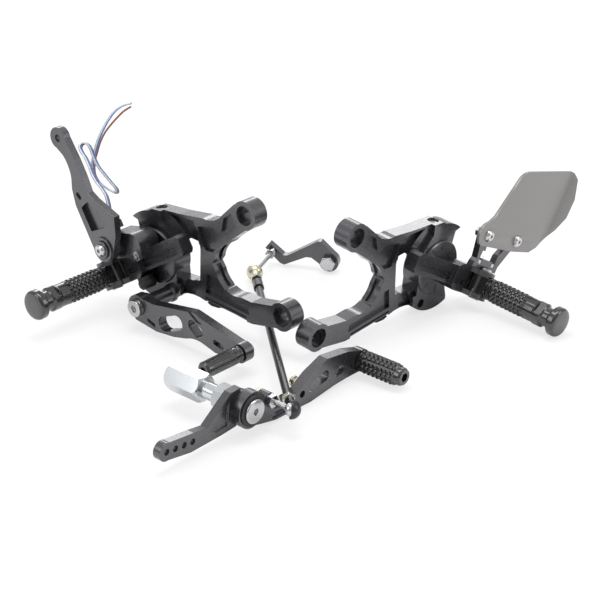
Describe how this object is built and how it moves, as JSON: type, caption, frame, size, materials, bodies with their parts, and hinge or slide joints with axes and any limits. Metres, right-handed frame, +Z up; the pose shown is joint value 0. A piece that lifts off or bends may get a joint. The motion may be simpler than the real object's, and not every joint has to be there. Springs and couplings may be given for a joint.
{
  "type": "rear sets footrest",
  "caption": "Motorcycle rear set kit: two footpeg brackets with folding pegs, a brake pedal, a heel guard, and a separate shift lever with its link rod and shaft arm.",
  "frame": {"origin": "centre of the kit's bounding box at bench level, measured without the switch wires", "axes": "+X to the viewer's right across the laid out kit, +Y away from the viewer, +Z up from the bench"},
  "size_m": [0.4786, 0.3874, 0.1755],
  "materials": {
    "black_alloy": "satin black anodised",
    "black_plastic": "moulded",
    "black_rubber": "moulded",
    "blue_wire": "insulation",
    "bright_zinc": "bright zinc plated",
    "brown_wire": "insulation",
    "dark_steel": "black oxide",
    "grip": "gloss black anodised",
    "guard": "grey carbon sheet",
    "steel": "bright stainless",
    "white_wire": "insulation",
    "yellow_zinc": "yellow zinc plated"
  },
  "bodies": {
    "kit": {"brake_bracket": "black_alloy", "brake_adjuster": "black_alloy", "brake_clamp_screw": "steel", "brake_peg_hanger": "black_alloy", "brake_hanger_screws": "steel", "brake_peg_pin": "steel", "pedal_axle": "steel", "pedal_spacer": "black_alloy", "pedal_stop": "black_rubber", "arm_mount": "black_alloy", "arm_mount_screws": "steel", "arm_spindle": "steel", "arm_washer": "black_alloy", "arm_screw": "steel", "brake_switch": "black_plastic", "wire_blue": "blue_wire", "wire_brown": "brown_wire", "wire_white": "white_wire", "shift_bracket": "black_alloy", "shift_adjuster": "black_alloy", "shift_clamp_screw": "steel", "shift_peg_hanger": "black_alloy", "shift_hanger_screws": "steel", "shift_peg_pin": "steel", "guard_support": "black_alloy", "support_screws": "steel", "heel_guard": "guard", "guard_screws": "steel", "shift_washer": "black_rubber", "shift_pivot_screw": "steel", "shift_axle": "bright_zinc", "shift_axle_nut": "bright_zinc"},
    "brake_peg": {"brake_footpeg": "grip", "brake_peg_cap": "grip"},
    "shift_peg": {"shift_footpeg": "grip", "shift_peg_cap": "grip"},
    "pedal": {"brake_pedal": "black_alloy", "pedal_bush": "yellow_zinc", "brake_toe_peg": "grip", "brake_toe_screw": "steel"},
    "upper_arm": {"brake_arm": "black_alloy"},
    "lever": {"shift_lever": "black_alloy", "shift_tail_arm": "black_alloy", "shift_bush": "steel", "shift_toe_peg": "grip", "shift_toe_screw": "steel", "spring_post": "yellow_zinc", "lower_ball_stud": "steel", "lower_ball_nut": "yellow_zinc"},
    "rod": {"link_rod": "dark_steel", "rod_jam_nuts": "yellow_zinc", "lower_rod_end": "dark_steel", "upper_rod_end": "yellow_zinc"},
    "shaft": {"shaft_arm": "black_alloy", "shaft_bolt": "steel", "upper_ball_stud": "steel"}
  },
  "joints": [
    {"name": "brake_peg_fold", "type": "hinge", "parent": "kit", "child": "brake_peg", "pos_m": [-0.1713, 0.09435, 0.03221], "axis": [0.3817, -0.3413, -0.859], "range_deg": [0, 45]},
    {"name": "shift_peg_fold", "type": "hinge", "parent": "kit", "child": "shift_peg", "pos_m": [0.14817, 0.09672, 0.02109], "axis": [0.3913, 0.2845, 0.8752], "range_deg": [0, 45]},
    {"name": "brake_pedal_pivot", "type": "hinge", "parent": "kit", "child": "pedal", "pos_m": [-0.14268, 0.05267, 0.02135], "axis": [0.6665, 0.7455, 0], "range_deg": [0, 12], "stiffness_Nm_per_rad": 1.5, "springref_deg": -6.88},
    {"name": "upper_arm_pivot", "type": "hinge", "parent": "kit", "child": "upper_arm", "pos_m": [-0.17156, 0.08519, 0.06134], "axis": [-0.6665, -0.7455, 0], "range_deg": [-10, 10]},
    {"name": "shift_lever_pivot", "type": "hinge", "parent": "kit", "child": "lever", "pos_m": [-0.04705, -0.12918, 0.02143], "axis": [0.7579, -0.6519, -0.0244], "range_deg": [-8, 3]},
    {"name": "rod_swing", "type": "hinge", "parent": "lever", "child": "rod", "pos_m": [-0.01493, -0.13174, 0.022], "axis": [0.7579, -0.6519, -0.0244], "range_deg": [-3, 8]},
    {"name": "shaft_arm_swing", "type": "hinge", "parent": "rod", "child": "shaft", "pos_m": [-0.04928, 0.15161, 0.00794], "axis": [0, 0, 1], "range_deg": [-10, 10]}
  ],
  "couplings": [
    {"joint": "rod_swing", "follows": "shift_lever_pivot", "ratio": -1}
  ]
}
